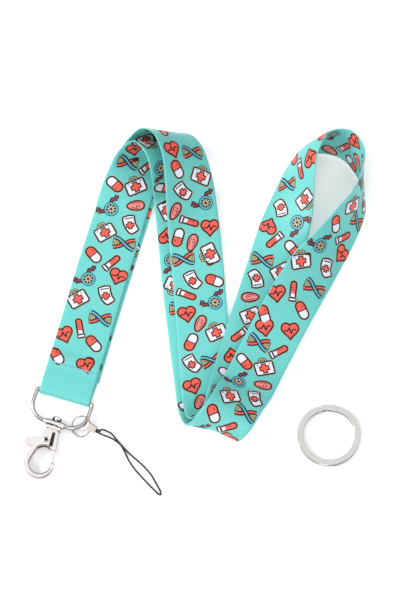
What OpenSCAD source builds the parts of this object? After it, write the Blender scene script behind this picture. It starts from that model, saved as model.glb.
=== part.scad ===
// Ribbon lanyard with a swivel snap hook, a phone cord loop and a loose key ring.
// Units mm. X right, Y towards the neck end, Z up; the lanyard lies on Z = 0.

/* [Strap] */
// width of the ribbon
strap_w = 25; // [15:0.5:30]
// thickness of the ribbon
strap_t = 0.8; // [0.5:0.1:1.2]
// distance from the D-ring bar to the sewn row
seam_d = 14.5; // [8:0.5:25]
// height of the ribbon where it lies on the table
lay_z = 0.4; // [0.3:0.1:1]

/* [Stitching] */
// number of stitches in the row
stitch_n = 17; // [8:1:24]
// thread thickness
thread_d = 0.5; // [0.3:0.05:0.8]

/* [D-ring] */
// centre of the bar, X
bar_x = -62.25; // [-80:0.1:-40]
// centre of the bar, Y
bar_y = -45; // [-60:0.1:-30]
// height of the ring's plane
ring_z = 2.65; // [2.6:0.05:4]
// turn of the bar in plan
bar_turn = -18.2; // [-40:0.1:40]
// wire diameter
wire_d = 2; // [1.6:0.1:3]
// half width between wire centres
dee_half = 13.75; // [12:0.05:18]
// depth from the bar to the foot
dee_depth = 14.6; // [10:0.1:20]
// radius of the two lower corners
dee_r = 8; // [5:0.5:12]
// boss diameter
boss_d = 3.4; // [3:0.1:5]
// boss length
boss_len = 8.4; // [5:0.1:14]

/* [Swivel pin] */
// shank diameter
pin_d = 2.1; // [1.5:0.1:3]
// head diameter
head_d = 4.9; // [4:0.1:7]
// head height
head_h = 2.2; // [1:0.1:3]

/* [Snap hook] */
// thickness of the casting
hook_t = 4; // [3:0.1:5]
// distance from the D-ring bar to the shoulder
hook_top = 16.5; // [15:0.1:20]
// width of the shoulder collar
collar_w = 6.6; // [5:0.1:9]
// centre of the round hook end, across
eye_x = -1.3; // [-4:0.1:4]
// centre of the round hook end, down from the bar
eye_y = 35.6; // [30:0.1:42]
// outer radius of the hook end
eye_r = 7.2; // [5:0.1:10]
// radius of the opening's lower part
mouth_r = 5.2; // [3:0.05:6]
// radius of the opening's upper part
throat_r = 4.1; // [2:0.1:5]
// pivot across
piv_x = -1.5; // [-3:0.1:3]
// pivot down from the bar
piv_y = 23.8; // [20:0.1:28]
// half height of the slot for the gate
slot_h = 1.1; // [0.8:0.1:1.4]

/* [Gate] */
// length of the thumb lever from the pivot
lever_len = 7.6; // [5:0.1:12]
// width of the thumb lever
lever_w = 4.4; // [3:0.1:6]
// thickness of the closing bar
gate_t = 3.2; // [2:0.1:4]
// rivet diameter
rivet_d = 1.6; // [1:0.1:2.4]

/* [Jump ring] */
// centre, across from the D-ring's middle
jump_x = 12; // [10:0.1:14]
// centre, down from the bar
jump_y = 12; // [10:0.1:15]
// centre height above the D-ring's plane
jump_z = 0.15; // [0:0.05:1]
// radius to the wire centre
jump_r = 4.9; // [4:0.1:7]
// wire diameter
jump_d = 0.9; // [0.7:0.1:1.2]
// tilt of the ring
jump_tilt = 25; // [15:1:40]
// direction in which the ring rises
jump_turn = 44; // [20:1:70]

/* [Cord clamp] */
// place on the jump ring
clamp_at = -34; // [-60:1:0]
// width of the folded strip
clamp_w = 3.4; // [2:0.1:5]
// length of the folded strip
clamp_len = 5.2; // [4:0.1:8]
// sheet thickness
clamp_s = 0.25; // [0.2:0.05:0.5]
// inside height of the fold
clamp_h = 2.2; // [1.2:0.1:2.4]
// turn of the clamp away from straight out
clamp_turn = -26; // [-40:1:0]
// slope towards the cord
clamp_drop = 18; // [0:1:50]

/* [Phone cord] */
// cord diameter
cord_d = 0.85; // [0.6:0.05:1.5]

/* [Key ring] */
// centre X
key_x = 63.7; // [50:0.1:80]
// centre Y
key_y = -64.3; // [-80:0.1:-50]
// outer diameter
key_od = 30; // [25:0.5:35]
// radial width of the flat wire
key_w = 2.7; // [2:0.1:4]
// thickness of one coil
key_t = 1.35; // [1:0.05:2]

/* [Hidden] */
rw = wire_d / 2;
rj = jump_d / 2;

teal = "#5ed3c8";
silver = "#c9c9c6";
black = "#1a1a1a";

function unit(v) = v / norm(v);
function mix(a, b, t) = a * (1 - t) + b * t;

// a smooth curve through p1 and p2, shaped by the points on either side
function spline(p0, p1, p2, p3, t) =
    0.5 * (2 * p1 + (p2 - p0) * t + (2 * p0 - 5 * p1 + 4 * p2 - p3) * t * t
        + (3 * p1 - p0 - 3 * p2 + p3) * t * t * t);
function at(list, i) = list[max(0, min(len(list) - 1, i))];
function curve(pts, n) = [
    for (i = [0 : len(pts) - 2])
        for (k = [0 : n - 1])
            spline(at(pts, i - 1), pts[i], pts[i + 1], at(pts, i + 2), k / n),
    pts[len(pts) - 1]
];

// frame of the metal parts: bar along X, hook towards -Y
module hardware() {
    translate([bar_x, bar_y, ring_z])
        rotate([0, 0, bar_turn])
            children();
}

// ---- strap -------------------------------------------------------------------------------
// stations along the ribbon: centre, then the direction across it
tab_turn = bar_turn + 1.2;
lead = [sin(-tab_turn), cos(tab_turn), 0];
side = [cos(tab_turn), sin(tab_turn), 0];
bar = [bar_x, bar_y, 0] - 0.1 * side;
wrap_r = rw + 0.3 + strap_t / 2;
fold_in = [
    for (d = [seam_d + 3, 12, 7, 3])
        [bar + d * lead + 0.04 * d * side + [0, 0, mix(1.05, 1.75, d / 18)], side]
];
fold = [
    for (a = [-90 : 30 : 90])
        [bar - wrap_r * cos(a) * lead + [0, 0, ring_z + wrap_r * sin(a)], side]
];
fold_out = [
    [bar + 6 * lead - 0.2 * side + [0, 0, 4], side],
    [bar + 12 * lead - 0.4 * side + [0, 0, 3.1], side],
    [bar + 18 * lead - 0.6 * side + [0, 0, 3.1], side],
    [bar + 27 * lead - 0.7 * side + [0, 0, 1.8], side]
];
// each station: the middle of the ribbon, the way across it, and how far it bows
route = [
    // left leg
    [[-45, 17, 1.6], [24, -7, 0]],
    [[-37, 44, 1.6], [24, -7, 0]],
    // first curl, over the top
    [[-34, 54.5, 3.3], [24, -7, -2]],
    [[-30.5, 64, 6], [23, -5, -8]],
    [[-27, 73, 9.5], [20, -2, -15]],
    [[-21.5, 78.5, 15], [17, 4, -18]],
    [[-15, 74.5, 19.5], [18, 11, -14]],
    [[-10.5, 66, 18], [22, 11, -6]],
    [[-8.5, 59, 11], [24, 7, -1]],
    [[-7.5, 52, 4.5], [25, 4, 1]],
    // middle leg, lower strand
    [[-5.5, 33, 1.3], [25, 3, 1]],
    [[-3, 7, 0.75], [25, 3, 0]],
    [[3, -43, 0.5], [25, 3, 0]],
    // second curl, outside
    [[4.5, -53.5, 2.8], [25, 2, -4]],
    [[6.5, -62, 6.5], [22, 0, -11]],
    [[10.5, -64.5, 14], [20, -9, -12]],
    [[16.5, -58.5, 18.5], [20, -14, -7]],
    [[21, -50, 15.5], [21, -13, -3]],
    [[25.5, -41.5, 9.5], [22, -11, -2]],
    // right leg, upper strand
    [[32, -27, 5.5], [21, -11, -4]],
    [[44.5, -3, 7], [21, -12, -6]],
    [[56, 16.5, 7.5], [18, -12, -11]],
    // neck, standing on its edge
    [[62.5, 24.5, 9.3], [14, -11, -17]],
    [[68.5, 32.5, 11.3], [12, -9, -20]],
    [[74, 41, 12.3], [10, -6, -22]],
    [[79, 50, 13], [6, -4, -24]],
    [[80.5, 60.5, 13], [1, -4, -25]],
    [[79, 70.5, 13], [-4, -5, -24]],
    [[72.5, 78.5, 13], [-5, -6, -24]],
    [[62.5, 79.5, 13.2], [-5, -3, -24], 2],
    [[54.5, 74.5, 12.6], [-10, 4, -23], 3],
    [[50.5, 66, 11.5], [-14, 7, -20], 1.5],
    [[48, 56.5, 9.2], [-18, 7, -16]],
    [[45.5, 47, 6.6], [-21, 7, -10]],
    [[42.5, 37, 4.5], [-23, 9, -5]],
    [[39, 26, 1.5], [-24, 8, -1]],
    // right leg, lower strand
    [[36, 16, 0.6], [-24, 8, 0]],
    [[28, -10, 1.8], [-24, 8, 2.5]],
    // second curl, inside
    [[24.5, -22, 2.7], [-24, 8, 2.5]],
    [[21.5, -32, 5], [-24, 8, 4]],
    [[19.5, -41.5, 9], [-23, 8, 5]],
    [[17, -50.5, 14], [-22, 9, 7]],
    [[13.5, -59.5, 13.5], [-20, 8, 12]],
    [[8, -59.2, 6.8], [-21, 0, 12]],
    [[6.5, -50, 4], [-24, -3, 5]],
    // middle leg, upper strand
    [[5.5, -39.5, 2.5], [-25, -3, 1]],
    [[4.2, -22, 1.6], [-25, -2, 0]],
    [[1.5, 14, 1.6], [-25, -2, 0]],
    // first curl, outside
    [[0.5, 24.5, 3], [-25, -3, 0]],
    [[-0.5, 34.5, 6.5], [-25, -4, 1]],
    [[-1.5, 43.5, 11.5], [-24, -5, 4]],
    [[-2.5, 53, 17], [-23, -6, 7]],
    [[-4, 62.5, 21], [-21, -7, 10]],
    [[-6.5, 72.5, 23.5], [-20, -7, 14]],
    [[-11.5, 81, 21.5], [-18, -5, 17]],
    [[-19, 83.5, 15], [-16, -2, 19]],
    [[-25, 77, 9.3], [-19, 0, 16]],
    [[-28.5, 68.5, 6], [-22, 4, 11]],
    [[-31, 59, 3.5], [-24, 6, 4]],
    // left leg, lower strand
    [[-34, 49, 1], [-24, 7, 0]],
    [[-37.5, 37, 0.45], [-24, 7, 0]],
    [[-49, -2, 0.45], [-24, 7, 0]],
    [[-58.2, -34.8, 0.45], [-24, 7, 0]]
];
stations = concat(fold_in, fold, fold_out, route);

module ribbon(st) {
    left = curve([for (s = st) s[0] - strap_w / 2 * unit(s[1])], 2);
    right = curve([for (s = st) s[0] + strap_w / 2 * unit(s[1])], 2);
    belly = curve([for (s = st) [len(s) > 2 ? s[2] : 0, 0, 0]], 2);
    n = len(left);
    up = [
        for (i = [0 : n - 1])
            let (a = left[max(0, i - 1)] + right[max(0, i - 1)])
            let (b = left[min(n - 1, i + 1)] + right[min(n - 1, i + 1)])
            unit(cross(right[i] - left[i], b - a))
    ];
    h = strap_t / 2;
    pts = [
        for (i = [0 : n - 1])
            let (m = (left[i] + right[i]) / 2 + belly[i][0] * up[i])
            each [
                left[i] + h * up[i], m + h * up[i], right[i] + h * up[i],
                right[i] - h * up[i], m - h * up[i], left[i] - h * up[i]
            ]
    ];
    skin = [
        for (i = [0 : n - 2])
            for (k = [0 : 5])
                let (a = 6 * i + k, b = 6 * i + (k + 1) % 6)
                each [[a, b, b + 6], [a, b + 6, a + 6]]
    ];
    e = 6 * (n - 1);
    first = [[5, 4, 1, 0], [4, 3, 2, 1]];
    last = [[e, e + 1, e + 4, e + 5], [e + 1, e + 2, e + 3, e + 4]];
    polyhedron(pts, concat(skin, first, last));
}

module strap() {
    color(teal)
        ribbon(stations);
}

module stitching() {
    color("#5cc0d4")
        translate(bar)
            rotate([0, 0, tab_turn])
                for (i = [0 : stitch_n - 1])
                    translate([(i - (stitch_n - 1) / 2) * 24 / stitch_n, seam_d, 3.8])
                        rotate([0, 90, 25])
                            cylinder(d = thread_d, h = 1.2, center = true, $fn = 16);
}

// ---- D-ring ------------------------------------------------------------------------------
module rod(p, q, r) {
    d = q - p;
    translate(p)
        rotate([0, acos(d[2] / norm(d)), atan2(d[1], d[0])])
            cylinder(r = r, h = norm(d), $fn = 32);
}

module bend(c, big, small, from, turn) {
    translate(c)
        rotate([0, 0, from])
            rotate_extrude(angle = turn, $fn = 64)
                translate([big, 0])
                    circle(r = small, $fn = 32);
}

module d_ring() {
    low = dee_depth - dee_r;
    mid = dee_half - dee_r;
    color(silver)
        hardware() {
            difference() {
                union() {
                    rod([-dee_half + 1.6, 0, 0], [dee_half - 1.6, 0, 0], rw);
                    bend([dee_half - 1.6, -1.6, 0], 1.6, rw, 0, 90);
                    bend([-dee_half + 1.6, -1.6, 0], 1.6, rw, 90, 90);
                    rod([dee_half, -1.6, 0], [dee_half, -low, 0], rw);
                    rod([-dee_half, -1.6, 0], [-dee_half, -low, 0], rw);
                    bend([mid, -low, 0], dee_r, rw, 270, 90);
                    bend([-mid, -low, 0], dee_r, rw, 180, 90);
                    rod([-mid, -dee_depth, 0], [mid, -dee_depth, 0], rw);
                    rod([-boss_len / 2, -dee_depth, 0], [boss_len / 2, -dee_depth, 0], boss_d / 2);
                    for (s = [-1, 1])
                        translate([s * boss_len / 2, -dee_depth, 0])
                            rotate([0, s * 90, 0])
                                cylinder(r1 = boss_d / 2, r2 = rw, h = 1.6, $fn = 32);
                }
                rod([0, -dee_depth - 4, 0], [0, -dee_depth + 4, 0], pin_d / 2 + 0.07);
            }
        }
}

// ---- snap hook ---------------------------------------------------------------------------
module swivel_pin() {
    top = dee_depth - boss_d / 2 - 0.15;
    color(silver)
        hardware() {
            rod([0, -top, 0], [0, -hook_top - 3, 0], pin_d / 2);
            translate([0, -top, 0])
                rotate([-90, 0, 0])
                    intersection() {
                        cylinder(d = head_d, h = head_h, $fn = 48);
                        translate([0, 0, -1.4])
                            sphere(r = 3.4, $fn = 48);
                    }
        }
}

module opening() {
    hull() {
        translate([-0.7, -35.8])
            circle(r = mouth_r, $fn = 32);
        translate([-0.6, -30.9])
            circle(r = throat_r, $fn = 32);
    }
}

module outline() {
    difference() {
        hull() {
            translate([eye_x, -eye_y])
                circle(r = eye_r, $fn = 32);
            translate([-0.4, -19.1])
                circle(r = 3.2, $fn = 32);
        }
        translate([-10, -hook_top - 1.9])
            square([20, 10]);
    }
}

module gate_space(r) {
    intersection() {
        translate([1.7, -50])
            square([10, 22.2]);
        translate([piv_x, -piv_y])
            circle(r = r, $fn = 96);
    }
}

module hook_body() {
    color(silver)
        hardware()
            difference() {
                union() {
                    linear_extrude(hook_t, center = true)
                        difference() {
                            outline();
                            opening();
                            gate_space(12.5);
                        }
                    translate([-collar_w / 2, -hook_top - 1.5, -2.2])
                        cube([collar_w, 1.5, 4.4]);
                    translate([-2.3, -hook_top - 2, -1.8])
                        cube([4.6, 1, 3.6]);
                }
                translate([-13, -28.8, -slot_h])
                    cube([20, 9, 2 * slot_h]);
                translate([0, 0, slot_h - 0.2])
                    linear_extrude(3)
                        polygon([[0.2, -19.3], [1.7, -19.3], [2.5, -26.4], [0.6, -26.4]]);
                translate([piv_x, -piv_y, -5])
                    cylinder(d = rivet_d, h = 10, $fn = 32);
                rod([0, -hook_top + 1, 0], [0, -hook_top - 3, 0], pin_d / 2);
            }
}

module gate() {
    color(silver)
        hardware()
            difference() {
                union() {
                    linear_extrude(gate_t, center = true)
                        difference() {
                            intersection() {
                                outline();
                                gate_space(12.15);
                                translate([1, -50])
                                    square([10, 22.2]);
                            }
                            opening();
                        }
                    translate([0, 0, -0.95])
                        linear_extrude(1.2) {
                            hull() {
                                translate([piv_x, -piv_y])
                                    circle(r = 2.2, $fn = 32);
                                translate([3.6, -28.2])
                                    circle(r = 0.85, $fn = 32);
                            }
                            hull() {
                                translate([piv_x, -piv_y])
                                    circle(r = 2.2, $fn = 32);
                                translate([piv_x - lever_len, -piv_y - 2.7])
                                    circle(r = lever_w / 2, $fn = 32);
                            }
                        }
                }
                translate([piv_x, -piv_y, -5])
                    cylinder(d = rivet_d + 0.12, h = 10, $fn = 32);
            }
}

module gate_rivet() {
    color(silver)
        hardware()
            translate([piv_x, -piv_y, 0]) {
                cylinder(d = rivet_d, h = hook_t + 0.4, center = true, $fn = 32);
                for (s = [0, 180])
                    rotate([s, 0, 0])
                        translate([0, 0, hook_t / 2])
                            cylinder(r1 = 1.3, r2 = 0.9, h = 0.4, $fn = 32);
            }
}

module gate_spring() {
    color("#9a9a96")
        hardware()
            translate([piv_x, -piv_y, 0.65])
                rotate_extrude($fn = 48)
                    translate([1.4, 0])
                        circle(r = 0.3, $fn = 16);
}

// ---- cord end ----------------------------------------------------------------------------
module on_jump_ring() {
    hardware()
        translate([jump_x, -jump_y, jump_z])
            rotate([0, 0, jump_turn])
                rotate([0, -jump_tilt, 0])
                    children();
}

module jump_ring() {
    color(silver)
        on_jump_ring()
            rotate_extrude($fn = 64)
                translate([jump_r, 0])
                    circle(r = rj, $fn = 16);
}

// the clamp's frame: X towards the cord, Y across, on the jump ring's wire
module clamp_frame() {
    on_jump_ring()
        rotate([0, 0, clamp_at])
            translate([jump_r, 0, 0])
                rotate([0, 0, clamp_turn])
                    rotate([0, clamp_drop, 0])
                        children();
}

module crimp() {
    h = clamp_h / 2;
    r = h + clamp_s;
    color("#d8d2c4")
        clamp_frame()
            difference() {
                union() {
                    translate([-1.2, 0, 0])
                        rotate([90, 0, 0])
                            cylinder(r = r, h = clamp_w, center = true, $fn = 32);
                    translate([-1.2, -clamp_w / 2, -r])
                        cube([clamp_len + 0.4 - r, clamp_w, 2 * r]);
                }
                translate([-1.2, 0, 0])
                    rotate([90, 0, 0])
                        cylinder(r = h, h = 10, center = true, $fn = 32);
                translate([-1.2, -5, -h])
                    cube([10, 10, clamp_h]);
                for (x = [1.2, 2.4])
                    translate([x, 0, r + 0.15])
                        sphere(r = 0.4, $fn = 24);
            }
}

module cord_knot() {
    color(black)
        clamp_frame()
            rotate([0, 90, 0]) {
                translate([0, 0, 1.6])
                    cylinder(r = clamp_h / 2 - 0.05, h = 2.8, $fn = 24);
                translate([0, 0, 4.2])
                    sphere(r = 1.15, $fn = 24);
            }
}

// the loop's route: down one side, round the far end and back over the crossing
cord_route = [
    [-46.4, -63.1, 3.9],
    [-45.3, -62.3, 3.6],
    [-44.3, -61.9, 3.1],
    [-42.3, -62.4, 2.3],
    [-40.1, -63.5, 1.7],
    [-38, -66, 1.5],
    [-35.8, -68.7, 1.5],
    [-34.2, -70.4, 1.1],
    [-32.7, -71.9, 0.6],
    [-29.6, -74.9, 0.45],
    [-26.2, -77.9, 0.45],
    [-23.3, -80.9, 0.45],
    [-20.9, -84, 0.45],
    [-19.4, -86.7, 0.45],
    [-17.8, -89.6, 0.45],
    [-16.6, -92, 0.45],
    [-16.6, -93.3, 0.45],
    [-17.7, -93.1, 0.45],
    [-20, -90.8, 0.45],
    [-23, -87.6, 0.45],
    [-26.3, -84, 0.45],
    [-28.9, -80.9, 0.45],
    [-31, -77.9, 0.45],
    [-32.6, -74.9, 0.45],
    [-33.9, -71.9, 0.45],
    [-34.8, -70.3, 0.45],
    [-35.8, -68.8, 0.45],
    [-37.6, -67.2, 0.8],
    [-40.1, -65.7, 1.4],
    [-43, -64.8, 2.3],
    [-45.2, -64.1, 3.1],
    [-46.3, -63.6, 3.5]
];

module tube(path, r) {
    n = len(path);
    dir = [for (i = [0 : n - 1]) unit(path[min(n - 1, i + 1)] - path[max(0, i - 1)])];
    pts = [
        for (i = [0 : n - 1])
            let (s = unit(cross(dir[i], [0, 0, 1])))
            let (u = cross(s, dir[i]))
            for (k = [0 : 7])
                path[i] + r * (s * cos(45 * k) + u * sin(45 * k))
    ];
    skin = [
        for (i = [0 : n - 2])
            for (k = [0 : 7])
                let (a = 8 * i + k, b = 8 * i + (k + 1) % 8)
                each [[a, b + 8, b], [a, a + 8, b + 8]]
    ];
    caps = [[for (k = [0 : 7]) k], [for (k = [7 : -1 : 0]) 8 * (n - 1) + k]];
    polyhedron(pts, concat(skin, caps));
}

module phone_cord() {
    color(black)
        tube(curve(cord_route, 2), cord_d / 2);
}

// ---- key ring ----------------------------------------------------------------------------
// two coils pressed together: a groove between them and one open end in each
module key_ring() {
    in_r = key_od / 2 - key_w;
    color(silver)
        translate([key_x, key_y, 0])
            difference() {
                rotate_extrude($fn = 96)
                    translate([in_r, 0])
                        square([key_w, 2 * key_t]);
                rotate([0, 0, 130])
                    rotate_extrude(angle = 290, $fn = 96)
                        translate([in_r + 1.4, key_t - 0.06])
                            square([key_w, 0.12]);
                rotate([0, 0, 95])
                    translate([in_r - 1, -0.6, -1])
                        cube([key_w + 2, 1.2, key_t + 1]);
                rotate([0, 0, 108])
                    translate([in_r - 1, -0.8, key_t])
                        cube([key_w + 2, 1.6, key_t + 1]);
            }
}

strap();
stitching();
d_ring();
swivel_pin();
hook_body();
gate();
gate_rivet();
gate_spring();
jump_ring();
crimp();
cord_knot();
phone_cord();
key_ring();
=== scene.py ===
import math

import bpy
import numpy as np
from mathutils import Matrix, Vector


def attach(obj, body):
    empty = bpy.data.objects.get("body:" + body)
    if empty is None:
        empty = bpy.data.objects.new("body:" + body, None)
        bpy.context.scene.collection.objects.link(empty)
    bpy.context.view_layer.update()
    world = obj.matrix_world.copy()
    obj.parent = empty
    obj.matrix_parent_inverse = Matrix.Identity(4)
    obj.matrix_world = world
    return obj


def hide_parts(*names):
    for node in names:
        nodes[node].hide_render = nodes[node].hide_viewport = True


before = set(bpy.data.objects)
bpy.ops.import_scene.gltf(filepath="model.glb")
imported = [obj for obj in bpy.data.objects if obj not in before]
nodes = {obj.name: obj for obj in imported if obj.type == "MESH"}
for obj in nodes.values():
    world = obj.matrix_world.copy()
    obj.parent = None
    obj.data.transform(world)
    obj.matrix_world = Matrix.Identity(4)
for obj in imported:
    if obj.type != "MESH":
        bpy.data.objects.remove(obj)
scene = bpy.context.scene
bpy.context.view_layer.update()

# ---- camera ----------------------------------------------------------------------------------
# A long lens nearly overhead, from the hook's side of the table.
tilt = math.radians(72.5)
away = Vector((0, -math.cos(tilt), math.sin(tilt)))
camera = bpy.data.objects.new("camera", bpy.data.cameras.new("camera"))
scene.collection.objects.link(camera)
camera.data.lens = 374.4
camera.data.sensor_width = 36
camera.data.clip_end = 20
camera.location = Vector((0.002163, 0.003907, 0)) + away * 3
camera.rotation_mode = "QUATERNION"
camera.rotation_quaternion = (-away).to_track_quat("-Z", "Y")
scene.camera = camera

# ---- table, lights ---------------------------------------------------------------------------
# A matt white paper table under three soft boxes, the strongest at the upper left.
# The paper glows a little, which softens the shadows on it.


def colour(text):
    """A hex sRGB colour as linear RGBA."""
    parts = [int(text[i : i + 2], 16) / 255 for i in (1, 3, 5)]
    return [c / 12.92 if c <= 0.04045 else ((c + 0.055) / 1.055) ** 2.4 for c in parts] + [1]


def add(mat, kind, links=(), **values):
    """Adds one shader node: values by socket or property name, links as (socket, source output)."""
    n = mat.node_tree.nodes.new(kind)
    for name, value in values.items():
        key = name.replace("_", " ")
        socket = next((s for s in n.inputs if s.name.lower() == key.lower()), None)
        if socket is not None:
            socket.default_value = value
        else:
            setattr(n, name, value)
    for name, source in links:
        mat.node_tree.links.new(source, n.inputs[name])
    return n


def surface(name, base, rough, metallic=0.0, spots=0.0, scale=400.0, bump=0.0, **more):
    """A Principled surface with noise in its colour, roughness and relief."""
    mat = bpy.data.materials.new(name)
    mat.use_nodes = True
    mat.node_tree.nodes.clear()
    place = add(mat, "ShaderNodeTexCoord")
    noise = add(mat, "ShaderNodeTexNoise", [("Vector", place.outputs["Object"])], Scale=scale, Detail=4.0)
    dark = [c * (1 - spots) for c in colour(base)[:3]] + [1]
    mix = add(mat, "ShaderNodeMix", data_type="RGBA")
    mix.inputs["A"].default_value = dark
    mix.inputs["B"].default_value = colour(base)
    mat.node_tree.links.new(noise.outputs["Fac"], mix.inputs["Factor"])
    spread = add(mat, "ShaderNodeMapRange", [("Value", noise.outputs["Fac"])],
                 To_Min=rough * 0.75, To_Max=rough * 1.25)
    relief = add(mat, "ShaderNodeBump", [("Height", noise.outputs["Fac"])], Strength=bump, Distance=0.0002)
    skin = add(mat, "ShaderNodeBsdfPrincipled", [
        ("Base Color", mix.outputs["Result"]),
        ("Roughness", spread.outputs["Result"]),
        ("Normal", relief.outputs["Normal"]),
    ], Metallic=metallic, **more)
    add(mat, "ShaderNodeOutputMaterial", [("Surface", skin.outputs["BSDF"])])
    return mat


def mesh_piece(name, points, faces, mats, picks=None, smooth=True):
    """A mesh object; picks is one material index per face."""
    me = bpy.data.meshes.new(name)
    me.from_pydata([tuple(p) for p in points], [], faces)
    for m in mats:
        me.materials.append(m)
    if picks is not None:
        me.polygons.foreach_set("material_index", picks)
    me.polygons.foreach_set("use_smooth", [smooth] * len(me.polygons))
    me.update()
    o = bpy.data.objects.new(name, me)
    scene.collection.objects.link(o)
    return o


paper = surface("matt_white_paper", "#F7F7F7", 0.9, spots=0.01, scale=60.0, bump=0.05,
                Emission_Color=(1, 1, 1, 1), Emission_Strength=0.3)
table_top = -0.0004
table_corners = [(x, y, table_top) for x, y in ((-3, -3), (3, -3), (3, 3), (-3, 3))]
table = mesh_piece("table", table_corners, [(0, 1, 2, 3)], [paper])

for name, place, size, power in (
    ("soft_box_left", (-1.2, 0.1, 0.9), 0.6, 17),
    ("soft_box_front", (-0.2, -1.3, 1.0), 0.5, 6),
    ("soft_box_right", (1.2, -0.3, 0.9), 0.3, 2.5),
):
    lamp = bpy.data.objects.new(name, bpy.data.lights.new(name, "AREA"))
    lamp.data.size = size
    lamp.data.energy = power
    lamp.location = place
    lamp.rotation_mode = "QUATERNION"
    lamp.rotation_quaternion = (-Vector(place)).to_track_quat("-Z", "Y")
    scene.collection.objects.link(lamp)

world = bpy.data.worlds.new("studio")
world.use_nodes = True
world.node_tree.nodes.clear()
scene.world = world
where = add(world, "ShaderNodeTexCoord")
split = add(world, "ShaderNodeSeparateXYZ", [("Vector", where.outputs["Generated"])])
ramp = add(world, "ShaderNodeValToRGB", [("Fac", split.outputs["Z"])])
ramp.color_ramp.elements[0].color = (0.2, 0.2, 0.21, 1)
ramp.color_ramp.elements[0].position = 0.3
ramp.color_ramp.elements[1].color = (1, 1, 1, 1)
ramp.color_ramp.elements[1].position = 0.88
sky = add(world, "ShaderNodeBackground", [("Color", ramp.outputs["Color"])], Strength=0.95)
add(world, "ShaderNodeOutputWorld", [("Surface", sky.outputs["Background"])])
scene.view_settings.view_transform = "Standard"

# ---- phone cord ------------------------------------------------------------------------------
# A braided polyester loop, 0.85 mm thick and about 90 mm long, both ends knotted in the clamp.
cord_thick = 0.85


def line_piece(name, lines, radius, mat, closed=False):
    """Round wires or threads along lists of points in mm."""
    cu = bpy.data.curves.new(name, "CURVE")
    cu.dimensions = "3D"
    cu.bevel_depth = radius / 1000
    cu.bevel_resolution = 4
    cu.use_fill_caps = True
    for pts in lines:
        sp = cu.splines.new("POLY")
        sp.points.add(len(pts) - 1)
        for q, p in zip(sp.points, pts):
            q.co = (p[0] / 1000, p[1] / 1000, p[2] / 1000, 1)
        sp.use_cyclic_u = closed
    cu.materials.append(mat)
    o = bpy.data.objects.new(name, cu)
    scene.collection.objects.link(o)
    return o


def smooth_curve(pts, n):
    """Points on a smooth curve through pts, n to a span."""
    p = np.array(pts, float)
    p = np.vstack([p[:1], p, p[-1:]])
    t = (np.arange(n) / n)[:, None]
    out = []
    for i in range(len(pts) - 1):
        a, b, c, d = p[i], p[i + 1], p[i + 2], p[i + 3]
        square = (2 * a - 5 * b + 4 * c - d) * t**2
        cube = (3 * b - a - 3 * c + d) * t**3
        out.append(0.5 * (2 * b + (c - a) * t + square + cube))
    return np.vstack(out + [p[-1:]])


cord_black = surface("braided_polyester", "#0C0C0E", 0.7, spots=0.5, scale=2600.0, bump=0.8, Sheen_Weight=0.3)
cord_points = smooth_curve([
    (-46.4, -63.1, 3.9), (-45.3, -62.3, 3.6), (-44.3, -61.9, 3.1), (-42.3, -62.4, 2.3), (-40.1, -63.5, 1.7),
    (-38, -66, 1.5), (-35.8, -68.7, 1.5), (-34.2, -70.4, 1.1), (-32.7, -71.9, 0.6), (-29.6, -74.9, 0.45),
    (-26.2, -77.9, 0.45), (-23.3, -80.9, 0.45), (-20.9, -84, 0.45), (-19.4, -86.7, 0.45), (-17.8, -89.6, 0.45),
    (-16.6, -92, 0.45), (-16.6, -93.3, 0.45), (-17.7, -93.1, 0.45), (-20, -90.8, 0.45), (-23, -87.6, 0.45),
    (-26.3, -84, 0.45), (-28.9, -80.9, 0.45), (-31, -77.9, 0.45), (-32.6, -74.9, 0.45), (-33.9, -71.9, 0.45),
    (-34.8, -70.3, 0.45), (-35.8, -68.8, 0.45), (-37.6, -67.2, 0.8), (-40.1, -65.7, 1.4), (-43, -64.8, 2.3),
    (-45.2, -64.1, 3.1), (-46.3, -63.6, 3.5),
], 6)
phone_cord = line_piece("phone_cord_braid", [cord_points], cord_thick / 2, cord_black)
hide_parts("phone_cord")
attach(phone_cord, "cord")

# ---- strap -----------------------------------------------------------------------------------
# A 25 mm polyester ribbon, heat-printed on both faces, folded round the D-ring and sewn.
# It lies in two open curls, and its far end stands on edge where the neck goes.
turn = math.radians(-17)
lead = np.array([-math.sin(turn), math.cos(turn), 0])
side = np.array([math.cos(turn), math.sin(turn), 0])
bar = np.array([-62.25, -45, 0]) - 0.1 * side
up = np.array([0, 0, 1])
stations = []
for d in (17.5, 12, 7, 3):
    stations.append((bar + d * lead + 0.04 * d * side + (1.05 + 0.7 * d / 18) * up, side, 0))
for a in range(-90, 91, 30):
    r = math.radians(a)
    stations.append((bar - 1.7 * math.cos(r) * lead + (2.65 + 1.7 * math.sin(r)) * up, side, 0))
for d, shift, z in ((6, 0.2, 4), (12, 0.4, 3.1), (18, 0.6, 3.1), (27, 0.7, 1.8)):
    stations.append((bar + d * lead - shift * side + z * up, side, 0))
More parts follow.
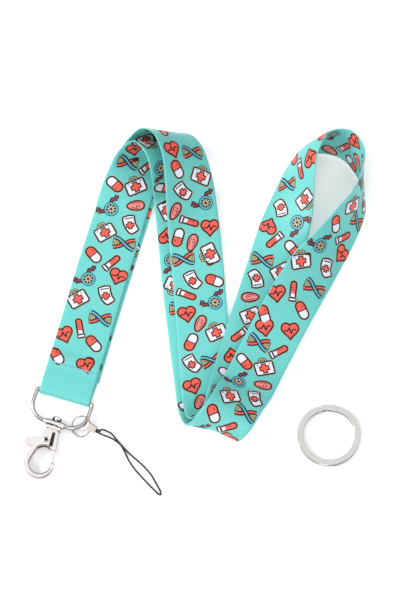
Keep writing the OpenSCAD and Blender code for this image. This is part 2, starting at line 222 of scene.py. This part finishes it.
# each station: the ribbon's middle, the way across it, and how far it bows
route = [
    # left leg
    ((-45, 17, 1.6), (24, -7, 0)),
    ((-37, 44, 1.6), (24, -7, 0)),
    # first curl, over the top
    ((-34, 54.5, 3.3), (24, -7, -2)),
    ((-30.5, 64, 6), (23, -5, -8)),
    ((-27, 73, 9.5), (20, -2, -15)),
    ((-21.5, 78.5, 15), (17, 4, -18)),
    ((-15, 74.5, 19.5), (18, 11, -14)),
    ((-10.5, 66, 18), (22, 11, -6)),
    ((-8.5, 59, 11), (24, 7, -1)),
    ((-7.5, 52, 4.5), (25, 4, 1)),
    # middle leg, lower strand
    ((-5.5, 33, 1.3), (25, 3, 1)),
    ((-3, 7, 0.75), (25, 3, 0)),
    ((3, -43, 0.5), (25, 3, 0)),
    # second curl, outside
    ((4.5, -53.5, 2.8), (25, 2, -4)),
    ((6.5, -62, 6.5), (22, 0, -11)),
    ((10.5, -64.5, 14), (20, -9, -12)),
    ((16.5, -58.5, 18.5), (20, -14, -7)),
    ((21, -50, 15.5), (21, -13, -3)),
    ((25.5, -41.5, 9.5), (22, -11, -2)),
    # right leg, upper strand
    ((32, -27, 5.5), (21, -11, -4)),
    ((44.5, -3, 7), (21, -12, -6)),
    ((56, 16.5, 7.5), (18, -12, -11)),
    # neck, standing on its edge
    ((62.5, 24.5, 9.3), (14, -11, -17)),
    ((68.5, 32.5, 11.3), (12, -9, -20)),
    ((74, 41, 12.3), (10, -6, -22)),
    ((79, 50, 13), (6, -4, -24)),
    ((80.5, 60.5, 13), (1, -4, -25)),
    ((79, 70.5, 13), (-4, -5, -24)),
    ((72.5, 78.5, 13), (-5, -6, -24)),
    ((62.5, 79.5, 13.2), (-5, -3, -24), 2),
    ((54.5, 74.5, 12.6), (-10, 4, -23), 3),
    ((50.5, 66, 11.5), (-14, 7, -20), 1.5),
    ((48, 56.5, 9.2), (-18, 7, -16)),
    ((45.5, 47, 6.6), (-21, 7, -10)),
    ((42.5, 37, 4.5), (-23, 9, -5)),
    ((39, 26, 1.5), (-24, 8, -1)),
    # right leg, lower strand
    ((36, 16, 0.6), (-24, 8, 0)),
    ((28, -10, 1.8), (-24, 8, 2.5)),
    # second curl, inside
    ((24.5, -22, 2.7), (-24, 8, 2.5)),
    ((21.5, -32, 5), (-24, 8, 4)),
    ((19.5, -41.5, 9), (-23, 8, 5)),
    ((17, -50.5, 14), (-22, 9, 7)),
    ((13.5, -59.5, 13.5), (-20, 8, 12)),
    ((8, -59.2, 6.8), (-21, 0, 12)),
    ((6.5, -50, 4), (-24, -3, 5)),
    # middle leg, upper strand
    ((5.5, -39.5, 2.5), (-25, -3, 1)),
    ((4.2, -22, 1.6), (-25, -2, 0)),
    ((1.5, 14, 1.6), (-25, -2, 0)),
    # first curl, outside
    ((0.5, 24.5, 3), (-25, -3, 0)),
    ((-0.5, 34.5, 6.5), (-25, -4, 1)),
    ((-1.5, 43.5, 11.5), (-24, -5, 4)),
    ((-2.5, 53, 17), (-23, -6, 7)),
    ((-4, 62.5, 21), (-21, -7, 10)),
    ((-6.5, 72.5, 23.5), (-20, -7, 14)),
    ((-11.5, 81, 21.5), (-18, -5, 17)),
    ((-19, 83.5, 15), (-16, -2, 19)),
    ((-25, 77, 9.3), (-19, 0, 16)),
    ((-28.5, 68.5, 6), (-22, 4, 11)),
    ((-31, 59, 3.5), (-24, 6, 4)),
    # left leg, lower strand
    ((-34, 49, 1), (-24, 7, 0)),
    ((-37.5, 37, 0.45), (-24, 7, 0)),
    ((-49, -2, 0.45), (-24, 7, 0)),
    ((-58.2, -34.8, 0.45), (-24, 7, 0)),
]
stations += [(np.array(s[0], float), np.array(s[1], float), s[2] if len(s) > 2 else 0) for s in route]

left_edge = smooth_curve([c - 12.5 * w / np.linalg.norm(w) for c, w, _ in stations], 24)
right_edge = smooth_curve([c + 12.5 * w / np.linalg.norm(w) for c, w, _ in stations], 24)
belly = smooth_curve([(b, 0, 0) for _, _, b in stations], 24)[:, 0]
middle = (left_edge + right_edge) / 2
along = np.concatenate([[0], np.cumsum(np.linalg.norm(np.diff(middle, axis=0), axis=1))])
strap_length = along[-1]
rings = np.linspace(0, strap_length, int(strap_length / 1.1))
left_edge, right_edge = [
    np.stack([np.interp(rings, along, e[:, k]) for k in range(3)], 1) for e in (left_edge, right_edge)
]
belly = np.interp(rings, along, belly)
middle = (left_edge + right_edge) / 2
face_up = np.cross(right_edge - left_edge, np.gradient(middle, axis=0))
face_up /= np.linalg.norm(face_up, axis=1)[:, None]


def on_ribbon(s, t, height):
    """Points in mm at s along the ribbon and t across it, height above its middle layer."""
    s, t = np.atleast_1d(s), np.atleast_1d(t)
    f = np.clip(s, 0, strap_length) / strap_length * (len(rings) - 1)
    i = np.minimum(f.astype(int), len(rings) - 2)
    f = (f - i)[:, None]
    blend = lambda x: x[i] * (1 - f) + x[i + 1] * f
    a, b, n = blend(left_edge), blend(right_edge), blend(face_up)
    bow = blend(belly[:, None])[:, 0] * (1 - (t / 12.5) ** 2)
    k = ((t + 12.5) / 25)[:, None]
    return a * (1 - k) + b * k + n * (bow + height)[:, None]


def ribbon_mesh():
    cols = np.array([-12.5, -12.1, -11.4, -9.5, -7, -4.5, -2, 0, 2, 4.5, 7, 9.5, 11.4, 12.1, 12.5])
    half = np.array([0.16, 0.33, 0.4] + [0.4] * 9 + [0.4, 0.33, 0.16])
    loop_t = np.concatenate([cols, cols[::-1]])
    loop_h = np.concatenate([half, -half[::-1]])
    m = len(loop_t)
    pts = np.vstack([on_ribbon(np.full(m, s), loop_t, loop_h) for s in rings]) / 1000
    faces, uvs = [], []
    for i in range(len(rings) - 1):
        for k in range(m):
            j = (k + 1) % m
            faces.append((i * m + k, i * m + j, (i + 1) * m + j, (i + 1) * m + k))
            here, there = rings[i], rings[i + 1]
            uvs += [(loop_t[k], here), (loop_t[j], here), (loop_t[j], there), (loop_t[k], there)]
    faces.append(tuple(range(m))[::-1])
    faces.append(tuple(len(pts) - m + k for k in range(m)))
    uvs += [(0, 0)] * (2 * m)
    return pts, faces, uvs


def ribbon_cloth():
    """Satin-woven polyester: fine warp lines along it and weft lines across it."""
    mat = bpy.data.materials.new("satin_polyester_ribbon")
    mat.use_nodes = True
    mat.node_tree.nodes.clear()
    uv = add(mat, "ShaderNodeUVMap", uv_map="flat")
    warp = add(mat, "ShaderNodeTexWave", [("Vector", uv.outputs["UV"])], wave_type="BANDS",
               bands_direction="X", Scale=0.9, Distortion=1.2, Detail=2.0, Detail_Scale=3.0)
    weft = add(mat, "ShaderNodeTexWave", [("Vector", uv.outputs["UV"])], wave_type="BANDS",
               bands_direction="Y", Scale=1.1, Distortion=1.2, Detail=2.0, Detail_Scale=3.0)
    slub = add(mat, "ShaderNodeTexNoise", [("Vector", uv.outputs["UV"])], Scale=2.2, Detail=5.0, Roughness=0.7)
    cloud = add(mat, "ShaderNodeTexNoise", [("Vector", uv.outputs["UV"])], Scale=0.05, Detail=3.0)
    weave = add(mat, "ShaderNodeMath", operation="MULTIPLY")
    mat.node_tree.links.new(warp.outputs["Fac"], weave.inputs[0])
    mat.node_tree.links.new(weft.outputs["Fac"], weave.inputs[1])
    total = add(mat, "ShaderNodeMath", operation="ADD")
    mat.node_tree.links.new(weave.outputs[0], total.inputs[0])
    mat.node_tree.links.new(slub.outputs["Fac"], total.inputs[1])
    tone = add(mat, "ShaderNodeMapRange", [("Value", total.outputs[0])], From_Min=0.4, From_Max=0.95)
    mix = add(mat, "ShaderNodeMix", data_type="RGBA")
    mix.inputs["A"].default_value = colour("#55B2AC")
    mix.inputs["B"].default_value = colour("#74D8D2")
    mat.node_tree.links.new(tone.outputs["Result"], mix.inputs["Factor"])
    shade = add(mat, "ShaderNodeMapRange", [("Value", cloud.outputs["Fac"])], To_Min=0.42, To_Max=0.55)
    relief = add(mat, "ShaderNodeBump", [("Height", total.outputs[0])], Strength=0.25, Distance=0.00008)
    skin = add(mat, "ShaderNodeBsdfPrincipled", [
        ("Base Color", mix.outputs["Result"]),
        ("Roughness", shade.outputs["Result"]),
        ("Normal", relief.outputs["Normal"]),
    ], Sheen_Weight=0.2, Sheen_Roughness=0.4)
    add(mat, "ShaderNodeOutputMaterial", [("Surface", skin.outputs["BSDF"])])
    return mat


pts, faces, uvs = ribbon_mesh()
ribbon = mesh_piece("ribbon", pts, faces, [ribbon_cloth()])
layer = ribbon.data.uv_layers.new(name="flat")
layer.data.foreach_set("uv", [x for uv in uvs for x in uv])
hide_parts("strap")
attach(ribbon, "strap")

# The print: small medical motifs with a brown-black outline, the same list over and over.
INKS = [
    surface("print_halo", "#C9B98A", 0.5, spots=0.1),
    surface("print_outline", "#150E11", 0.55, spots=0.2),
    surface("print_red", "#FF5A48", 0.5, spots=0.08),
    surface("print_white", "#E4E7F3", 0.5, spots=0.05),
    surface("print_blue", "#5BBBD8", 0.5, spots=0.08),
    surface("print_tan", "#CDBE93", 0.5, spots=0.08),
    surface("print_pink", "#F2847E", 0.5, spots=0.08),
    surface("print_brick", "#8E3237", 0.5, spots=0.1),
]
HALO, LINE, RED, WHITE, BLUE, TAN, PINK, BRICK = range(8)


def ellipse(a, b, cx=0.0, cy=0.0, n=28):
    w = np.arange(n) * 2 * math.pi / n
    return np.stack([cx + a * np.cos(w), cy + b * np.sin(w)], 1)


def fine(pts, step=0.9):
    """The closed outline with points no further apart than step."""
    out = []
    for a, b in zip(pts, np.roll(pts, -1, axis=0)):
        n = max(1, int(np.linalg.norm(b - a) / step))
        out += [a + (b - a) * k / n for k in range(n)]
    return np.array(out)


def grown(pts, by):
    """The closed outline moved outwards."""
    d = np.roll(pts, -1, axis=0) - np.roll(pts, 1, axis=0)
    n = np.stack([d[:, 1], -d[:, 0]], 1) / (np.linalg.norm(d, axis=1)[:, None] + 1e-9)
    return pts + by * n


def filled(pts, ink, level):
    """A patch: a fan from its middle with one ring halfway."""
    c = pts.mean(axis=0)
    n = len(pts)
    v = np.vstack([c[None], (pts + c) / 2, pts])
    f = []
    for i in range(n):
        j = (i + 1) % n
        f += [(0, 1 + i, 1 + j), (1 + i, 1 + n + i, 1 + n + j), (1 + i, 1 + n + j, 1 + j)]
    return (v, f, ink, level)


def shape(pts, ink, line=0.84, halo=1.0, level=0):
    """A patch with its outline and the thin pale edge outside that."""
    pts = fine(np.array(pts, float))
    edge = [filled(grown(pts, halo), HALO, level), filled(grown(pts, line), LINE, level + 1)]
    out = edge + [filled(pts, ink, level + 2)]
    return out[0 if halo else 1 :]


def stroke(pts, width, ink, level):
    width *= 1.25 if ink == LINE else 1
    pts = np.array(pts, float)
    line = [pts[0]]
    for a, b in zip(pts[:-1], pts[1:]):
        n = max(1, int(np.linalg.norm(b - a) / 0.9))
        line += [a + (b - a) * (k + 1) / n for k in range(n)]
    line = np.array(line)
    d = np.gradient(line, axis=0)
    n = np.stack([-d[:, 1], d[:, 0]], 1) / np.linalg.norm(d, axis=1)[:, None] * width / 2
    v = np.vstack([line + n, line - n])
    m = len(line)
    f = [q for i in range(m - 1) for q in ((i, i + m, i + m + 1), (i, i + m + 1, i + 1))]
    return [(v, f, ink, level)]


def cross(cx, cy, r, level):
    k = r * 0.36
    arm = [(k, k), (k, r), (-k, r), (-k, k), (-r, k), (-r, -k)]
    p = np.array(arm + [(-x, -y) for x, y in arm])
    p += (cx, cy)
    grown_p = p + np.sign(p - (cx, cy)) * 0.58
    return [filled(grown_p, LINE, level), filled(p, RED, level + 1)]


def heart():
    w = np.arange(36) * 2 * math.pi / 36
    x = 4.0 * np.sin(w) ** 3
    y = 0.25 * (13 * np.cos(w) - 5 * np.cos(2 * w) - 2 * np.cos(3 * w) - np.cos(4 * w))
    pts = np.stack([x, y], 1)[::-1]
    beat = stroke([(-3.2, -0.4), (-1.2, -0.4), (-0.4, 1.3), (0.5, -1.9), (1.3, 0.2), (3.2, 0.2)], 0.6, LINE, 3)
    return shape(pts, RED) + beat


def capsule():
    w = np.linspace(math.pi / 2, 3 * math.pi / 2, 10)
    left = np.stack([-2.1 + 2 * np.cos(w), 2 * np.sin(w)], 1)
    right = -left
    whole = np.vstack([left, right])
    half_red = np.vstack([left, [(0, -2), (0, 2)]])
    half_white = np.vstack([right, [(0, 2), (0, -2)]])
    mark = stroke([(-2.6, 1), (-1.2, 1)], 0.3, LINE, 4)
    out = shape(whole, RED)[:2]
    out += [filled(fine(half_red), RED, 2), filled(fine(half_white), WHITE, 2)]
    return out + stroke([(0, -2.1), (0, 2.1)], 0.45, LINE, 3) + mark


def kit():
    box = [(-4.1, -3.1), (4.1, -3.1), (4.4, -2.7), (4.4, 2.3), (4.1, 2.7), (-4.1, 2.7), (-4.4, 2.3), (-4.4, -2.7)]
    grip = [(-1.7, 2.8), (-1.6, 4.2), (-1.1, 4.7), (1.1, 4.7), (1.6, 4.2), (1.7, 2.8)]
    out = stroke(grip, 1.5, HALO, 0) + stroke(grip, 1.1, LINE, 1) + stroke(grip, 0.45, TAN, 2)
    out += shape(box, WHITE, level=1) + cross(0, -0.2, 2.1, 4)
    return out + stroke([(-3.6, 2), (-2.6, 2)], 0.3, LINE, 4) + stroke([(2.6, 2), (3.6, 2)], 0.3, LINE, 4)


def cap():
    quad = [
        (-2.7, 4), (0, 4.4), (2.4, 4.1), (2.2, 1.8), (2.4, -0.6), (3.4, -3),
        (2.2, -3.7), (0.2, -4.5), (-0.9, -3.8), (-2.2, -1.4), (-2.8, 1.4),
    ]
    band = stroke([(-2.2, 3.3), (2, 3.4)], 0.45, LINE, 3)
    return shape(quad[::-1], WHITE) + cross(-0.1, -0.3, 1.5, 3) + band


def helix():
    x = np.linspace(-5, 5, 15)
    y = 2.5 * np.cos((x + 5) / 10 * math.pi)
    one, two = np.stack([x, y], 1), np.stack([x, -y], 1)
    out = []
    for k in (0, 1, 2, 3, 11, 12, 13, 14):
        out += stroke([one[k], two[k]], 1.0, LINE, 0) + stroke([one[k], two[k]], 0.4, TAN, 1)
    for line, ink, level in ((two, RED, 2), (one, BLUE, 4)):
        out += stroke(line, 1.75, LINE, level) + stroke(line, 0.75, ink, level + 1)
    return out


def tube():
    w = np.linspace(math.pi / 2, -math.pi / 2, 9)
    tip = np.stack([3.4 + 1.0 * np.cos(w), 1.0 * np.sin(w)], 1)
    body = np.vstack([tip, [(-3.4, -1.0), (-3.4, 1.0)]])[::-1]
    red = np.vstack([tip * (1, 0.98), [(-1.3, -0.98), (-0.9, 0.98)]])[::-1]
    rim = [(-4.4, -1.5), (-3.6, -1.5), (-3.6, 1.5), (-4.4, 1.5)]
    ticks = stroke([(0.6, 0.9), (0.8, 0)], 0.3, LINE, 4) + stroke([(1.8, 0.9), (2, 0)], 0.3, LINE, 4)
    return shape(body, WHITE) + [filled(fine(red), RED, 3)] + shape(rim, WHITE, level=2) + ticks


def wheelchair():
    out = []
    for arm in (
        [(-3, -0.4), (-6.6, -0.2)],
        [(-6.9, -0.5), (-5.8, 2)],
        [(0.6, 3.2), (1.4, 4.6), (3.9, 4.6)],
        [(3.4, 4.5), (4.1, 6.3)],
    ):
        out += stroke(arm, 1.7, LINE, 0) + stroke(arm, 0.8, BRICK, 1)
    for r, ink, level in ((3.6, LINE, 2), (3.2, BLUE, 3), (2.5, LINE, 4)):
        out.append(filled(ellipse(r, r), ink, level))
    for k in range(4):
        a = math.radians(22 + 45 * k)
        c, s = 2.1 * math.cos(a), 2.1 * math.sin(a)
        out += stroke([(-c, -s), (c, s)], 0.6, TAN, 5)
    return out + [filled(ellipse(0.7, 0.7, n=12), LINE, 6)]


def plaster():
    w = np.arange(30) * 2 * math.pi / 30
    outer = np.stack([3.9 * np.cos(w), (1.9 + 0.45 * np.cos(w)) * np.sin(w)], 1)
    inner = outer * 0.7
    out = shape(outer, PINK) + stroke(inner[3:12], 0.26, LINE, 3) + stroke(inner[18:26], 0.26, LINE, 3)
    for x in (0.2, 1.5):
        out += stroke([(x, -0.9), (x + 0.3, 0.1)], 0.36, LINE, 4)
    return out


MOTIFS = {
    "heart": heart(), "capsule": capsule(), "kit": kit(), "cap": cap(),
    "helix": helix(), "tube": tube(), "chair": wheelchair(), "plaster": plaster(),
}
# one repeat for each face: motif, along the ribbon and across it in mm, turn in degrees
UPPER = [
    ("heart", -10, 5.5, 15), ("capsule", -10, -9, -60), ("capsule", 1.5, 6, -50), ("heart", 2, -9, 20),
    ("tube", 7, -2.5, 100), ("helix", 14.5, 5.5, -10), ("kit", 21, -7.5, 30), ("cap", 26.5, 5, 10),
    ("chair", 32, -5.5, 10), ("heart", 37.5, 8, -20), ("tube", 43, 3, 40), ("capsule", 44.5, -6.5, -50),
    ("helix", 54, 6, -10), ("kit", 57, -4.5, 30), ("cap", 64, 6, 10), ("chair", 69, -5, 10),
    ("plaster", 74, 6, 5), ("capsule", 81, -7, 140), ("kit", 83, 3, 25), ("tube", 94, 5.5, 40),
    ("helix", 93, -5, -10), ("heart", 101, -6, 20),
]
UNDER = [
    ("heart", 5, -6, 10), ("helix", 8, 5, -10), ("capsule", 15, -5.5, -70), ("kit", 20, 6.5, -30),
    ("cap", 26, -4, 30), ("chair", 33, 7, 5), ("plaster", 35, -8.5, 60), ("tube", 41, -2, -25),
    ("heart", 45, 7.8, -5), ("capsule", 48, -8, 70), ("plaster", 51.5, -1.5, 65), ("kit", 58, 6.5, 110),
    ("helix", 59, -6.5, 0), ("cap", 70, -3, 20), ("capsule", 71, 7.5, -25), ("tube", 77, -6.5, -25),
    ("chair", 82, 7, 5), ("heart", 86.5, -7, 5), ("plaster", 92, -1, 60), ("kit", 97, 6.5, 20),
    ("capsule", 101, -6, 60), ("helix", 111, 3.5, 10), ("cap", 112, -6.5, 25), ("heart", 123, -7, 15),
    ("plaster", 132, -4.5, 60),
]


def printed(name, repeats, pitch, start, stop, direction, face):
    """Lays the repeats on one face; direction is +1 or -1 along the ribbon."""
    points, faces_out, inks = [], [], []
    count = 0
    for k in range(int((stop - start) / pitch) + 2):
        for kind, s, t, angle in repeats:
            s0 = start + k * pitch + (s if direction > 0 else pitch - s)
            if s0 > stop or s0 < begin:
                continue
            a = math.radians(angle + (16 if face > 0 else 0))
            # seen from its own side, "up" is towards +s on the upper face
            turned = np.array([[math.cos(a), math.sin(a)], [-math.sin(a), math.cos(a)]])
            for v, f, ink, level in MOTIFS[kind]:
                q = 0.98 * v @ turned
                across = np.clip(face * (t + q[:, 0]), -12.3, 12.3)
                place = on_ribbon(s0 + q[:, 1], across, np.full(len(q), face * (0.45 + 0.03 * level)))
                faces_out += [tuple(count + i for i in tri) for tri in f]
                inks += [ink] * len(f)
                points.append(place / 1000)
                count += len(q)
    o = mesh_piece(name, np.vstack(points), faces_out, INKS, inks)
    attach(o, "strap")
    return o


def reach(place):
    """How far along the ribbon its middle passes the given x, y, z."""
    return rings[np.argmin(np.linalg.norm(middle - np.array(place), axis=1))]


upper_pitch = 116
under_pitch = 138
zero = reach(stations[14][0])
begin = zero - 14
last_motif = strap_length - 6
print_upper = printed("print_upper_face", UPPER, upper_pitch, zero, last_motif, 1, 1)
first = reach((4.2, -22, 1.6)) + 105.3 - under_pitch
start_under = first - under_pitch * math.ceil((first - begin) / under_pitch)
print_under = printed("print_under_face", UNDER, under_pitch, start_under, last_motif, -1, -1)

# ---- stitching -------------------------------------------------------------------------------
# One row of light blue polyester thread that holds the folded end, each stitch dipping at both ends.
thread = surface("polyester_thread", "#8CD8EA", 0.5, spots=0.25, scale=3000.0, bump=0.5, Sheen_Weight=0.3)
seam = reach(bar + 14.5 * lead + 3.1 * up)
stitches = []
for k in range(17):
    t = (k - 8) * 24 / 17
    line = []
    for j in range(7):
        f = j / 6 - 0.5
        line.append(on_ribbon(seam + 0.5 * f, t + 1.2 * f, 0.32 + 0.4 * (1 - (2 * f) ** 4))[0])
    stitches.append(line)
row = line_piece("stitch_row", stitches, 0.3, thread)
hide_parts("stitching")
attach(row, "strap")

# ---- hook, D-ring, rings ---------------------------------------------------------------------
# Zinc die castings and steel wire, barrel-plated in bright nickel; edges tumbled round.
def plated(name, base, painted_shade_colour, rough, spots, scale):
    """Bright plate on the flats, with painted shade on the walls: the colour darkens as a face turns from
    straight up.
    """
    mat = surface(name, base, rough, metallic=1.0, spots=spots, scale=scale, bump=0.04)
    skin = next(n for n in mat.node_tree.nodes if n.type == "BSDF_PRINCIPLED")
    plate_colour = skin.inputs["Base Color"].links[0].from_socket
    # Painted shade: the mask fades the plate colour to the shade colour on faces that turn from the top.
    facing = add(mat, "ShaderNodeNewGeometry")
    split = add(mat, "ShaderNodeSeparateXYZ", [("Vector", facing.outputs["Normal"])])
    painted_shade_mask = add(mat, "ShaderNodeMapRange", [("Value", split.outputs["Z"])], From_Min=0.45, From_Max=0.97)
    mix = add(mat, "ShaderNodeMix", data_type="RGBA")
    mix.inputs["A"].default_value = colour(painted_shade_colour)
    mat.node_tree.links.new(plate_colour, mix.inputs["B"])
    mat.node_tree.links.new(painted_shade_mask.outputs["Result"], mix.inputs["Factor"])
    mat.node_tree.links.new(mix.outputs["Result"], skin.inputs["Base Color"])
    return mat


# The second colour of each plate is the painted shade on its walls and rounded edges.
nickel = plated("bright_nickel_plate", "#FFFBF9", "#8B8482", 0.12, 0.1, 180.0)
wire_nickel = plated("nickel_plated_wire", "#D8D0CD", "#857D7A", 0.25, 0.1, 180.0)
steel = plated("tumbled_steel", "#E3E2DF", "#6E6B68", 0.16, 0.1, 240.0)
strip = plated("plated_brass_strip", "#EDE7DE", "#8C857C", 0.25, 0.12, 300.0)
wire = surface("spring_wire", "#8A8985", 0.3, metallic=1.0, spots=0.2, scale=300.0, bump=0.05)
for name, mat, slot, width in (
    ("swivel_pin", nickel, "plated_metal", 0.25),
    ("hook_body", nickel, "plated_metal", 0.75), ("gate", nickel, "plated_metal", 0.45),
    ("gate_rivet", nickel, "plated_metal", 0.12),
    ("gate_spring", wire, "spring_wire", 0.0), ("crimp", strip, "crimp_metal", 0.1),
    ("key_ring", steel, "polished_steel", 0.25),
):
    o = nodes[name]
    o.data.materials.clear()
    o.data.materials.append(mat)
    if width:
        weld = o.modifiers.new("weld", "WELD")
        weld.merge_threshold = 0.00001
        edge = o.modifiers.new("tumbled_edge", "BEVEL")
        edge.width = width / 1000
        edge.segments = 4
        edge.limit_method = "ANGLE"
        edge.angle_limit = math.radians(40)
        edge.harden_normals = False
    even = o.modifiers.new("even_normals", "WEIGHTED_NORMAL")
    even.keep_sharp = True

# ---- D-ring ----------------------------------------------------------------------------------
# The D-ring is 2 mm wire bent to a loop, its foot cast into a boss that the pin runs through.
hardware_turn = math.radians(-18.2)


def in_hardware(x, y, z=0.0):
    """A point from the D-ring's own frame: x along the bar, y away from the hook."""
    c, s = math.cos(hardware_turn), math.sin(hardware_turn)
    return np.array([-62.25 + c * x - s * y, -45 + s * x + c * y, 2.65 + z])


loop = []
bends = ((12.15, -1.6, 1.6, 90), (5.75, -6.6, 8, 0), (-5.75, -6.6, 8, -90), (-12.15, -1.6, 1.6, 180))
for cx, cy, r, start in bends:
    for k in range(13):
        a = math.radians(start - 90 * k / 12)
        loop.append(in_hardware(cx + r * math.cos(a), cy + r * math.sin(a)))
dee = line_piece("d_ring_wire", [loop], 1.0, wire_nickel, closed=True)
shape_of_boss = [
    (-5.9, 0.98), (-4.9, 1.25), (-4.3, 1.6), (-4, 1.7), (4, 1.7), (4.3, 1.6), (4.9, 1.25), (5.9, 0.98),
]
boss_line = line_piece("d_ring_boss", [[in_hardware(x, -14.6) for x, _ in shape_of_boss]], 1.0, nickel)
for point, (_, r) in zip(boss_line.data.splines[0].points, shape_of_boss):
    point.radius = r
for o in (dee, boss_line):
    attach(o, "dee")
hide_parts("d_ring")

# ---- jump ring -------------------------------------------------------------------------------
# The jump ring is one turn of 0.9 mm wire, its two ends butted with a hairline gap.
tilt_ring = math.radians(-25)
turn_ring = math.radians(-18.2 + 44)
flat = math.cos(tilt_ring)
ring_x = np.array([math.cos(turn_ring) * flat, math.sin(turn_ring) * flat, -math.sin(tilt_ring)])
ring_y = np.array([-math.sin(turn_ring), math.cos(turn_ring), 0])
ring_mid = in_hardware(12, -12, 0.15)
jump = []
for k in range(73):
    a = math.radians(202 + 356 * k / 72)
    jump.append(ring_mid + 4.9 * (math.cos(a) * ring_x + math.sin(a) * ring_y))
# The ring's second colour is painted shade on the sides of the wire.
ring_nickel = plated("thin_ring_nickel", "#A39B98", "#6F6764", 0.3, 0.1, 180.0)
jump_ring = line_piece("jump_ring_wire", [jump], 0.45, ring_nickel)
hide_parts("jump_ring")
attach(jump_ring, "link")

# ---- rivet, rolled rim, spring recess --------------------------------------------------------
# The rivet is tubular: a rolled rim round its hole, which is a flat dark disc of painted shade.
rivet_at = in_hardware(-1.5, -23.8)
rim = []
for k in range(33):
    a = 2 * math.pi * k / 32
    rim.append(rivet_at + (1.15 * math.cos(a), 1.15 * math.sin(a), 2.28))
rivet_rim = line_piece("rivet_rolled_rim", [rim], 0.3, nickel)
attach(rivet_rim, "hook")
shadow = surface("rivet_bore_painted_shade", "#2B2526", 0.5, metallic=0.6, spots=0.3)
dish = [rivet_at + (0, 0, 2.42)]
for k in range(24):
    a = k * math.pi / 12
    dish.append(rivet_at + (0.85 * math.cos(a), 0.85 * math.sin(a), 2.44))
fan = [(0, 1 + k, 1 + (k + 1) % 24) for k in range(24)]
rivet_hole = mesh_piece("rivet_bore", np.array(dish) / 1000, fan, [shadow])
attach(rivet_hole, "hook")

# The casting's inner rim is rolled over; this thin dark line along it is painted shade on the rounded rim.
inner_rim = []
for k in range(29):
    a = math.radians(-8 - 172 * k / 28)
    inner_rim.append(in_hardware(-0.7 + 5.5 * math.cos(a), -35.8 + 5.5 * math.sin(a), 1.9))
for k in range(21):
    a = math.radians(180 - 122 * k / 20)
    inner_rim.append(in_hardware(-0.6 + 4.4 * math.cos(a), -30.9 + 4.4 * math.sin(a), 1.9))
rim_painted_shade = plated("rim_painted_shade", "#8C7F7B", "#3A302E", 0.2, 0.2, 300.0)
rolled = line_piece("hook_rim_painted_shade", [inner_rim], 0.24, rim_painted_shade)
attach(rolled, "hook")

# The window in the hook's head shows the recess round the gate's spring; its floor is a flat sheet of painted
# shade, reddish as a painted reflection.
pocket_edge = ((0.35, -19.5), (1.65, -19.5), (2.0, -22), (2.4, -26.2), (0.7, -26.2), (0.55, -22))
pocket_points = [in_hardware(x, y, 1.07) / 1000 for x, y in pocket_edge]
recess = surface("recess_painted_shade", "#5A3B34", 0.35, metallic=0.7, spots=0.5, scale=500.0)
pocket = mesh_piece("spring_recess", pocket_points, [tuple(range(6))], [recess], smooth=False)
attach(pocket, "hook")

# ---- cord knot -------------------------------------------------------------------------------
# The two cord ends wound round each other where they leave the clamp.
knot_axis = np.array([0.864, -0.497, -0.079])
knot_side = np.array([0.489, 0.792, 0.366])
knot_up = np.cross(knot_axis, knot_side)
root = np.array([-50.09, -61.01, 4.52])
knot_lines = []
for start in (0, math.pi):
    line = []
    for k in range(40):
        f = k / 39
        a = start + 2.2 * math.pi * f * 1.4
        r = 0.35 + 0.42 * math.sin(math.pi * min(1, max(0, (f - 0.25) / 0.75)))
        line.append(root + (1.7 + 3.4 * f) * knot_axis + r * (math.cos(a) * knot_side + math.sin(a) * knot_up))
    knot_lines.append(line)
knot = line_piece("knot_turns", knot_lines, 0.42, cord_black)
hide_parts("cord_knot")
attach(knot, "cord")
